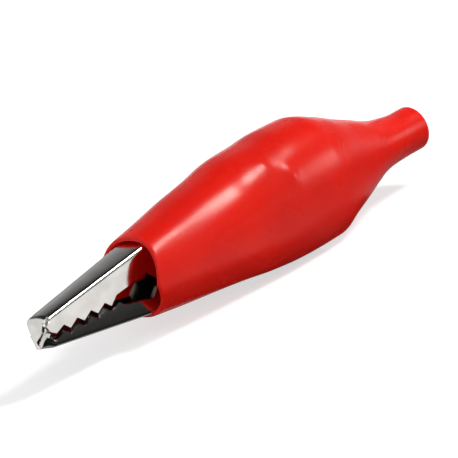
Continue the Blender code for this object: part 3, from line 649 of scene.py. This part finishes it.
@dataclass
class UpperJaw:
    """The moving jaw: nose tab, toothed blade, ears and thumb lever in one strip.

    top is the web's height and half the strip's half width at places along x. tab gives
    the tab's path from its point to the web, as x, z and half width. The hook is the bit
    of flange in front of the first tooth.
    """

    strip: FoldedSheet = field(default_factory=lambda: FoldedSheet("upper_jaw_strip", 0.36))
    start: float = 1.15
    radius: float = 0.36
    crown: float = 0.05
    tab_columns: int = 22
    top: Stations = ((0.0, 1.32), (20.0, 4.18), (26.0, 4.985), (32.9, 5.4), (37.5, 5.3))
    half: Stations = (
        (0.0, 1.19), (13.4, 1.713), (15.6, 1.9), (24.4, 1.9), (32.9, 2.8), (37.5, 2.8))
    tips: tuple[float, ...] = (3.17, 4.9, 6.62, 8.34)
    valleys: tuple[float, ...] = (2.5, 4.18, 5.91, 7.66)
    tip_z: float = -0.36
    valley_z: float = 0.21
    hook_corner: Pair = (0.52, 0.72)
    hook_back: Pair = (0.7, 0.86)
    hook_toe: Pair = (0.82, 0.16)
    hook_bend: float = 0.35
    first_tip: Pair = (1.45, -0.21)
    crown_fade: int = 4
    tab: Route = (
        (0.0, -0.46, 0.09), (0.08, -0.1, 0.42), (0.18, 0.36, 0.78), (0.31, 0.97, 0.96), (0.345, 1.12, 0.99),
        (0.42, 1.24, 1.0), (0.55, 1.315, 1.0), (0.8, 1.4, 0.98), (1.15, 1.484, 0.875))

    def edge(self) -> list[Pair]:
        """Corners of the flange's edge, from the hook's toe to the lever's end."""
        teeth = [corner for valley, tip in zip(self.valleys, self.tips)
                 for corner in ((valley, self.valley_z), (tip, self.tip_z))]
        throat = [(9.2, 0.34), (13.27, 0.9), (14.2, -0.03), (15.6, -0.05)]
        lever = [(24.4, 2.6), (36.0, 3.2), (37.5, 4.3)]
        return [self.hook_toe, self.first_tip, *teeth, *throat, *ear_arc(200, 340), *lever]

    def build(self) -> bpy.types.Object:
        """The strip from the tip of its tab to the end of its lever.

        Behind the relief slit each column is a section of the folded sheet. In front of
        it the web's rows follow the tab's path, narrowing to its point, and the flange's
        rows fill the little hook between the slit and the first tooth.
        """
        edge = np.array(self.edge())
        corners = np.concatenate([[self.start], edge[edge[:, 0] > self.start + 0.01, 0]])
        x = Columns.between(corners, self.strip.step)
        width = np.interp(x, *np.array(self.half).T)
        top = Curve.through(self.top, x)
        reach = np.interp(x, edge[:, 0], edge[:, 1])
        rear = self.strip.section(x, width, top, np.full_like(x, self.radius), reach, self.crown)
        front = self.front(rear[:, 0])
        points = self.strip.whole(np.concatenate([front, rear], axis=1))
        rows = points.shape[0]
        flange, fold = self.strip.flange_rows, self.strip.fold_rows
        kept = np.ones((rows - 1, points.shape[1] - 1), dtype=bool)
        kept[flange:flange + fold, :self.tab_columns] = False
        kept[rows - 1 - flange - fold:rows - 1 - flange, :self.tab_columns] = False
        return self.strip.make(points, kept, False)

    def front(self, first: np.ndarray) -> np.ndarray:
        """Columns in front of the slit: the tab on the web's rows and the hook on the flange's.

        Args:
            first: The first column behind the slit, of shape (rows, 3).

        Returns:
            Array of shape (rows, tab columns, 3).
        """
        count = self.tab_columns
        share = np.arange(count) / count
        rows = np.repeat(first[:, None, :], count, axis=1)
        path = np.array(self.tab)
        length = np.concatenate([[0.0], np.cumsum(np.hypot(*np.diff(path[:, :2], axis=0).T))])
        at = share * length[-1]
        web = slice(self.strip.flange_rows + self.strip.fold_rows, None)
        across = first[web, 1] / abs(first[web, 1]).max()
        rows[web, :, 0] = np.interp(at, length, path[:, 0])
        rows[web, :, 1] = across[:, None] * np.interp(at, length, path[:, 2])
        rise = (first[web, 2] - first[web, 2][0])[:, None] * share ** self.crown_fade
        rows[web, :, 2] = np.interp(at, length, path[:, 1]) + rise
        flange = slice(0, self.strip.flange_rows + 1)
        slit = np.array([self.hook_corner, self.hook_back, tuple(first[self.strip.flange_rows, [0, 2]])])
        place = np.array([0.0, self.hook_bend, 1.0])
        down = np.linspace(1, 0, self.strip.flange_rows + 1)[:, None]
        for axis, column in ((0, 0), (2, 1)):
            upper = np.interp(share, place, slit[:, column])
            lower = self.hook_toe[column] + (first[0, axis] - self.hook_toe[column]) * share
            rows[flange, :, axis] = upper + (lower - upper) * down
        return rows

    def dress(self, jaw: bpy.types.Object, plate: bpy.types.Material) -> None:
        """Plate the jaw and hang it on the moving body."""
        jaw.data.materials.append(plate)
        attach(jaw, UPPER_BODY)
        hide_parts("upper_jaw")


@dataclass
class LowerJaw:
    """The fixed jaw: V-shaped nose, toothed blade, ears, shank and crimp tabs in one strip.

    bottom is the web's height, half the strip's half width and bend the fold's radius at
    places along x. In front of blade_end the flanges spread by the flare and the web is
    drawn in, both eased in over blade_ease. nose is the V's edge as x, y and z, and
    lip_shares are where along it the flange's rows and the fold's rows end. shoulder and
    crimp_tab are heights over the shank's floor.
    """

    strip: FoldedSheet = field(default_factory=lambda: FoldedSheet("lower_jaw_strip", 0.38))
    start: float = 1.3
    crown: float = 0.03
    flare: float = 0.12
    draw_in: float = 0.1
    blade_end: float = 15.6
    blade_ease: float = 2.2
    nose_columns: int = 12
    lip_shares: Pair = (0.3, 0.74)
    first_rise: float = 0.05
    shank_floor: float = -3.91
    shoulder: float = 1.1
    crimp_tab: float = 2.5
    screw_x: float = 29.3
    collar_bore: float = 1.33
    collar_wall: float = 0.35
    collar_span: Pair = (-3.5, -2.9)
    collar_breaks: Pair = (0.08, 0.06)
    collar_sides: int = 48
    bottom: Stations = (
        (0.0, -1.3), (13.4, -3.096), (20.0, -3.4), (26.0, -3.8), (32.6, -3.8), (37.5, -4.35))
    half: Stations = (
        (0.0, 1.19), (13.4, 1.713), (15.6, 1.4), (24.4, 1.4), (26.8, 2.6), (32.6, 2.6),
        (33.6, 2.1), (37.5, 2.1))
    bend: Stations = ((0.0, 0.48), (32.6, 0.48), (33.6, 1.2), (37.5, 1.2))
    peaks: tuple[float, ...] = (2.48, 4.14, 5.83, 7.54, 9.25)
    valleys: tuple[float, ...] = (3.1, 4.81, 6.52, 8.24, 9.95)
    peak_z: float = -0.36
    valley_z: float = -0.92
    nose: Route = (
        (0.38, -1.05, -0.16), (0.28, -0.785, -0.45), (0.05, -0.27, -1.22), (0.04, 0.0, -1.25))

    def edge(self) -> list[Pair]:
        """Corners of the flange's edge, from behind the nose to the shank's end."""
        teeth = [corner for peak, valley in zip(self.peaks, self.valleys)
                 for corner in ((peak, self.peak_z), (valley, self.valley_z))]
        throat = [(13.3, -1.57), (14.42, -0.63), (15.6, -0.63)]
        shoulder = self.shank_floor + self.shoulder
        tab = self.shank_floor + self.crimp_tab
        shank = [(24.4, -2.7), (32.6, -2.7), (33.2, shoulder), (33.6, shoulder), (33.9, tab),
                 (36.5, tab), (36.8, -3.45), (37.5, -3.45)]
        first = (self.start, self.valley_z + self.first_rise)
        return [first, *teeth, *throat, *ear_arc(170, 10), *shank]

    def build(self) -> bpy.types.Object:
        """The strip from its nose to the end of its shank.

        Behind the nose each column is a section of the folded sheet. In front, every row
        runs from the first section to its place on the V's front edge, straight in x and
        eased across.
        """
        edge = np.array(self.edge())
        x = Columns.between(edge[:, 0], self.strip.step)
        width = np.interp(x, *np.array(self.half).T)
        bottom = np.interp(x, *np.array(self.bottom).T)
        radius = np.interp(x, *np.array(self.bend).T)
        reach = np.interp(x, edge[:, 0], edge[:, 1])
        blade = np.clip((self.blade_end - x) / self.blade_ease, 0.0, 1.0)
        rear = self.strip.section(x, width - self.draw_in * blade, bottom, radius, reach,
                                  self.crown, self.flare * blade)
        points = self.strip.whole(np.concatenate([self.front(rear[:, 0]), rear], axis=1))
        kept = np.ones((points.shape[0] - 1, points.shape[1] - 1), dtype=bool)
        return self.strip.make(points, kept, True)

    def front(self, first: np.ndarray) -> np.ndarray:
        """Columns of the nose.

        Args:
            first: The first column behind the nose, of shape (rows, 3).

        Returns:
            Array of shape (rows, nose columns, 3).
        """
        path = np.array(self.nose)
        length = np.concatenate([[0.0], np.cumsum(np.linalg.norm(np.diff(path, axis=0), axis=1))])
        counts = (self.strip.flange_rows, self.strip.fold_rows, self.strip.web_rows // 2)
        fold, web = self.lip_shares
        shares = np.concatenate([np.linspace(0.0, fold, counts[0] + 1),
                                 np.linspace(fold, web, counts[1] + 1)[1:],
                                 np.linspace(web, 1.0, counts[2] + 1)[1:]])
        lip = np.stack([np.interp(shares * length[-1], length, path[:, i]) for i in range(3)], axis=-1)
        share = (np.arange(self.nose_columns) / self.nose_columns)[None, :, None]
        eased = share * share * (3 - 2 * share)
        straight = lip[:, None, :] + (first - lip)[:, None, :] * share
        bent = lip[:, None, :] + (first - lip)[:, None, :] * eased
        straight[1:, :, 1:] = bent[1:, :, 1:]
        return straight

    def collar(self) -> bpy.types.Object:
        """The drawn collar round the terminal screw: a ring profile turned about z."""
        bore, outer = self.collar_bore, self.collar_bore + self.collar_wall
        low, high = self.collar_span
        outside, inside = self.collar_breaks
        radius = np.array([bore, outer, outer, outer - outside, bore + inside, bore])[:, None]
        height = np.array([low, low, high - outside, high, high, high - inside])[:, None]
        angle = 2 * math.pi * np.arange(self.collar_sides) / self.collar_sides
        points = np.stack([self.screw_x + radius * np.cos(angle), radius * np.sin(angle),
                           height + 0 * angle], axis=-1)
        return Surface.grid("screw_collar", points, True, True)

    def dress(self, jaw: bpy.types.Object, collar: bpy.types.Object,
              plate: bpy.types.Material) -> None:
        """Plate the jaw and its collar and fix both to the lower body."""
        for piece in (jaw, collar):
            piece.data.materials.append(plate)
            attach(piece, LOWER_BODY)
        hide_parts("lower_jaw")
        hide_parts("lower_jaw")


@dataclass
class TorsionSpring:
    """The wire spring: lever leg, coil round the rivet and shank leg."""

    wire: float = 0.445
    coil: float = 1.5
    pivot: float = Place.PIVOT_X
    width: float = 1.335
    leg_end: float = 26.9
    lever_z: float = 4.15
    shank_z: float = -2.88
    turns: int = 3
    coil_points: int = 96
    leg_points: int = 14
    sides: int = 16
    tip_radius: float = 0.002
    tip_share: float = 0.44

    def path(self) -> np.ndarray:
        """Middle line of the wire.

        A straight leg comes in along the coil's tangent from the lever, the coil is a
        helix about the rivet's axis, and the second leg leaves along its tangent.
        """
        angles = []
        for height, side in ((self.lever_z, 1), (self.shank_z, -1)):
            run = self.leg_end - self.pivot
            angles.append(math.atan2(height, run) + side * math.acos(self.coil / math.hypot(run, height)))
        sweep = angles[1] + 2 * math.pi * self.turns - angles[0]
        share = np.linspace(0, 1, self.coil_points)
        angle = angles[0] + sweep * share
        coil = np.stack([self.pivot + self.coil * np.cos(angle), self.width * (0.5 - share),
                         self.coil * np.sin(angle)], axis=-1)
        legs = []
        for end, height in ((coil[0], self.lever_z), (coil[-1], self.shank_z)):
            tip = np.array([self.leg_end, end[1], height])
            legs.append(end + (tip - end) * np.linspace(0, 1, self.leg_points)[1:, None])
        return np.concatenate([legs[0][::-1], coil, legs[1]])

    def build(self) -> bpy.types.Object:
        """The wire: a circle carried square to its middle line, closed at both tips.

        Each circle is spanned by the line's normal nearest to y and its binormal, and the
        two tips close through circles that shrink to a small radius.
        """
        path = self.path()
        tangent = np.gradient(path, axis=0)
        tangent /= np.linalg.norm(tangent, axis=1)[:, None]
        first = np.cross(tangent, np.array([0.0, 1.0, 0.0]))
        first /= np.linalg.norm(first, axis=1)[:, None]
        second = np.cross(tangent, first)
        radius = np.full(len(path), self.wire / 2)
        last = len(path) - 1
        rings = np.array([0, 0, *range(len(path)), last, last])
        path, first, second = path[rings], first[rings], second[rings]
        tip = np.array([self.tip_radius, self.wire * self.tip_share])
        radius = np.concatenate([tip, radius, tip[::-1]])
        angle = 2 * math.pi * np.arange(self.sides) / self.sides
        around = (first[:, None, :] * np.cos(angle)[None, :, None]
                  + second[:, None, :] * np.sin(angle)[None, :, None])
        points = path[:, None, :] + around * radius[:, None, None]
        return Surface.grid("spring_wire_coil", points, True, False)

    def dress(self, spring: bpy.types.Object, finish: bpy.types.Material) -> None:
        """Finish the wire, hide the CAD spring and bake the wire's place into its mesh."""
        spring.data.materials.append(finish)
        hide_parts("torsion_spring")
        start, end = Place.world(np.array([[self.pivot, side * self.width / 2, 0.0] for side in (-1, 1)]))
        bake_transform(spring)


class Kind(Enum):
    """Which lamps and cards there are; the cards are painted reflections and a painted highlight."""

    KEY = "key_softbox"
    FILL = "fill_softbox"
    TENT = "painted_dark_reflection_tent"
    MAT = "painted_shadow_reflection_mat"
    REAR_MAT = "painted_dark_reflection_rear_mat"
    GLOW = "painted_highlight_glow_card"


@dataclass
class Studio:
    """Pale floor, soft lamps, the cards that gloss sees, which are painted reflections and a painted
    highlight, and the camera.

    Lengths are in metres and angles in degrees, but the lens is in millimetres.
    """

    floor_half: float = 1.5
    floor_depth: float = 0.0001
    floor_grey: float = 0.5
    floor_glow: Pair = (0.62, 1.0)
    floor_glow_span: Pair = (0.12, 0.7)
    world_light: float = 0.3
    card_rows: int = 25
    azimuth: float = -45.0
    elevation: float = 15.44
    roll: float = 14.11
    distance: float = 0.340
    lens: float = 289.97
    shift: Pair = (-0.0091, -0.0044)

    def camera(self) -> None:
        """Place the camera: a long lens a little above the clip, turned about its own axis."""
        azimuth, elevation, roll = (math.radians(a) for a in (self.azimuth, self.elevation, self.roll))
        back = Vector((math.sin(azimuth) * math.cos(elevation),
                       -math.cos(azimuth) * math.cos(elevation), math.sin(elevation)))
        level = Vector((math.cos(azimuth), math.sin(azimuth), 0.0))
        upright = back.cross(level)
        right = math.cos(roll) * level - math.sin(roll) * upright
        up = math.sin(roll) * level + math.cos(roll) * upright
        data = bpy.data.cameras.new("camera")
        data.lens = self.lens
        data.sensor_width = 36.0
        data.shift_x, data.shift_y = self.shift
        data.clip_start = 0.01
        data.clip_end = 50.0
        camera = bpy.data.objects.new("camera", data)
        bpy.context.scene.collection.objects.link(camera)
        target = Vector(Place.world(np.array([27.0, 0.0, 0.0])))
        turn = Matrix((right, up, back)).transposed().to_4x4()
        camera.matrix_world = Matrix.Translation(target + back * self.distance) @ turn
        bpy.context.scene.camera = camera

    def lamp(self, kind: Kind, place: Triple, aim: Triple, size: Pair, power: float) -> None:
        """Add a rectangular soft lamp that faces a point.

        Args:
            kind: Its name.
            place: Where it stands, in metres.
            aim: The point it faces, in metres.
            size: Its width and height, in metres.
            power: Its power, in watts.
        """
        data = bpy.data.lights.new(kind.value, "AREA")
        data.shape = "RECTANGLE"
        data.size, data.size_y = size
        data.energy = power
        obj = bpy.data.objects.new(kind.value, data)
        obj.location = place
        obj.rotation_euler = (Vector(place) - Vector(aim)).to_track_quat("Z", "Y").to_euler()
        bpy.context.scene.collection.objects.link(obj)

    def seen_white(self, nodes: bpy.types.NodeTree) -> bpy.types.NodeSocket:
        """1 for rays that see the background: from the camera, in gloss or through glass."""
        path = nodes.nodes.new("ShaderNodeLightPath")
        total = path.outputs["Is Camera Ray"]
        for name in ("Is Glossy Ray", "Is Transmission Ray"):
            either = nodes.nodes.new("ShaderNodeMath")
            either.operation = "MAXIMUM"
            nodes.links.new(total, either.inputs[0])
            nodes.links.new(path.outputs[name], either.inputs[1])
            total = either.outputs[0]
        return total

    def world(self) -> None:
        """A world that is white where it is seen and a soft grey where it lights."""
        world = bpy.data.worlds.new("studio")
        bpy.context.scene.world = world
        world.use_nodes = True
        tree = world.node_tree
        background = tree.nodes["Background"]
        strength = tree.nodes.new("ShaderNodeMapRange")
        strength.inputs["To Min"].default_value = self.world_light
        strength.inputs["To Max"].default_value = 1.0
        tree.links.new(self.seen_white(tree), strength.inputs["Value"])
        background.inputs["Color"].default_value = (1.0, 1.0, 1.0, 1.0)
        tree.links.new(strength.outputs["Result"], background.inputs["Strength"])

    def floor(self) -> None:
        """A pale floor that is white where it is lit and keeps the object's shadow.

        Its own glow rises away from the clip, as the lamps' light falls off.
        """
        half = self.floor_half
        corners = np.array([[-half, -half, 0], [half, -half, 0], [half, half, 0], [-half, half, 0]])
        corners = corners - np.array([0, 0, self.floor_depth])
        floor = Surface.object("floor", corners, np.array([[0, 1, 2, 3]]))
        nodes = Nodes("pale_floor")
        glow = nodes.add("ShaderNodeEmission", {}, {"Color": (1.0, 1.0, 1.0, 1.0)})
        away = nodes.add("ShaderNodeVectorMath", {"operation": "LENGTH"}, {0: nodes.coordinates})
        level = nodes.ranged(away.outputs["Value"], *self.floor_glow, *self.floor_glow_span)
        strength = nodes.add("ShaderNodeMath", {"operation": "MULTIPLY"}, {1: level})
        nodes.join(self.seen_white(nodes.tree), strength.inputs[0])
        nodes.join(strength.outputs[0], glow.inputs["Strength"])
        both = nodes.add("ShaderNodeAddShader")
        nodes.shader.inputs["Base Color"].default_value = (*[self.floor_grey] * 3, 1.0)
        nodes.shader.inputs["Roughness"].default_value = 0.9
        nodes.join(nodes.shader.outputs["BSDF"], both.inputs[0])
        nodes.join(glow.outputs["Emission"], both.inputs[1])
        nodes.join(both.outputs["Shader"], nodes.output.inputs["Surface"])
        floor.data.materials.append(nodes.material)

    def card(self, kind: Kind, points: np.ndarray, measure: str, span: Pair,
             greys: Stations, strength: float = 1.0) -> None:
        """Add a card that only gloss sees: a painted reflection that glows, but neither lights nor shades
        the clip.

        Args:
            kind: Its name.
            points: Grid of its points in metres, of shape (rows, columns, 3).
            measure: The coordinate, X, Y or Z, along which its grey changes.
            span: The coordinate's values at the first and the last grey, in metres.
            greys: Pairs of a share of the span and the grey there.
            strength: What the greys are multiplied by.
        """
        quads = Surface.faces(Surface.numbers(points)).reshape(-1, 4)
        card = Surface.object(kind.value, points.reshape(-1, 3), quads)
        nodes = Nodes(kind.value + "_painted_glow")
        parts = nodes.add("ShaderNodeSeparateXYZ", {}, {"Vector": nodes.coordinates})
        share = nodes.add("ShaderNodeMapRange", {}, {
            "Value": parts.outputs[measure], "From Min": span[0], "From Max": span[1]}).outputs["Result"]
        ramp = nodes.add("ShaderNodeValToRGB", {}, {"Fac": share})
        for place, grey in greys[1:-1]:
            ramp.color_ramp.elements.new(place).color = (grey, grey, grey, 1.0)
        for element, (place, grey) in ((ramp.color_ramp.elements[0], greys[0]),
                                       (ramp.color_ramp.elements[-1], greys[-1])):
            element.position = place
            element.color = (grey, grey, grey, 1.0)
        glow = nodes.add("ShaderNodeEmission", {}, {"Color": ramp.outputs["Color"],
                                                    "Strength": strength})
        nodes.join(glow.outputs["Emission"], nodes.output.inputs["Surface"])
        card.data.materials.append(nodes.material)
        for ray in ("camera", "diffuse", "shadow", "transmission", "volume_scatter"):
            setattr(card, "visible_" + ray, False)

    def patch(self, turn: np.ndarray, low: np.ndarray, high: float, radius: float) -> np.ndarray:
        """Grid of points on a sphere about the clip.

        Args:
            turn: Azimuths of the columns, in degrees.
            low: Elevation of each column's lowest point, in degrees.
            high: Elevation of the highest points, in degrees.
            radius: The sphere's radius, in metres.

        Returns:
            Array of shape (rows, columns, 3), in metres.
        """
        azimuth = np.radians(turn)[None, :]
        elevation = np.radians(low + (high - low) * np.linspace(0.0, 1.0, self.card_rows)[:, None])
        return np.stack([np.cos(elevation) * np.cos(azimuth), np.cos(elevation) * np.sin(azimuth),
                         np.sin(elevation) * np.ones_like(azimuth)], axis=-1) * radius

    def mat(self, x: Pair, y: Pair, depth: float) -> np.ndarray:
        """Corners of a rectangle that lies so deep under the clip, in metres, as (2, 2, 3)."""
        return np.array([[[across, along, -depth] for across in x] for along in y])

    def cards(self) -> None:
        """Painted reflections that only gloss sees: the dark tent over the clip, the dark mats beside it
        and the glowing card to its right, which paints a highlight.
        """
        # Painted reflection: the tent's dark greys darken what the plate and the boot mirror, and its
        # bright band paints a highlight.
        turn = np.linspace(-62.0, 68.0, 33)
        low = np.interp(turn, [-62.0, -20.0, 20.0], [3.0, 6.0, 9.0])
        self.card(Kind.TENT, self.patch(turn, low, 82.0, 0.8), "Z", (0.125, 0.8),
                  ((0.0, 0.02), (0.13, 0.02), (0.2, 0.6), (0.3, 0.33), (0.43, 0.2), (0.52, 0.02),
                   (1.0, 0.02)))
        # Painted shadow: the mat under the jaws is dark on its near half, standing in for the shade under
        # the clip in the plate's reflection, and grey on its far half.
        self.card(Kind.MAT, self.mat((-0.031, 0.02), (-0.011, 0.009), 0.00005), "Y", (-0.011, 0.009),
                  ((0.0, 0.07), (0.25, 0.035), (0.4, 0.008), (0.46, 0.01), (0.49, 0.3), (1.0, 0.35)))
        # Painted reflection: the rear mat is dark behind and under the boot's rear, darkening its sheen,
        # with a bright strip at its front edge.
        self.card(Kind.REAR_MAT, self.mat((0.008, 0.2), (-0.15, 0.08), 0.00007), "X", (0.008, 0.2),
                  ((0.0, 0.85), (0.14, 0.03), (1.0, 0.03)))
        # Painted highlight: this card glows at nine times white, though it is no lamp, and puts a bright
        # spot on the boot's rear.
        turn = np.linspace(-40.0, -31.0, 9)
        self.card(Kind.GLOW, self.patch(turn, np.full_like(turn, 3.0), 15.0, 0.5), "Z", (0.0, 0.2),
                  ((0.0, 1.0), (1.0, 1.0)), 9.0)

    def build(self) -> None:
        """Camera, lamps, world, floor and cards."""
        self.camera()
        self.lamp(Kind.KEY, (0.239, -0.215, 0.383), (0.0, 0.0, 0.005), (0.11, 0.11), 1.8)
        self.lamp(Kind.FILL, (-0.35, -0.3, 0.4), (0.0, 0.0, 0.0), (0.5, 0.5), 0.95)
        self.world()
        self.floor()
        self.cards()
        bpy.context.scene.view_settings.view_transform = "Standard"


def dress_node(name: str, material: bpy.types.Material) -> None:
    """Give a CAD node its finish.

    Args:
        name: The node.
        material: The finish.
    """
    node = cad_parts[name]
    node.data.materials.clear()
    node.data.materials.append(material)
    LOG.info("dressed %s with %s", name, material.name)


def main() -> None:
    """Build the studio, then each piece, and log the pieces' face counts."""
    logging.basicConfig(level=logging.INFO, format="%(name)s: %(message)s")
    Studio().build()
    boot = Boot()
    sleeve = boot.build()
    boot.dress(sleeve)
    LOG.info("boot sleeve: %d faces", len(sleeve.data.polygons))
    plate = NickelPlate("bright_nickel_plate").build()
    upper = UpperJaw()
    strip = upper.build()
    upper.dress(strip, plate)
    LOG.info("upper jaw: %d faces", len(strip.data.polygons))
    lower = LowerJaw()
    strip = lower.build()
    lower.dress(strip, lower.collar(), plate)
    LOG.info("lower jaw: %d faces", len(strip.data.polygons))
    for name in ("pivot_rivet", "terminal_screw"):
        dress_node(name, plate)
    spring = TorsionSpring()
    wire = spring.build()
    spring.dress(wire, NickelPlate("drawn_spring_wire", "B9B8B4", "A09F9B", 0.22).build())
    LOG.info("spring: %d faces", len(wire.data.polygons))


if __name__ == "__main__":
    main()
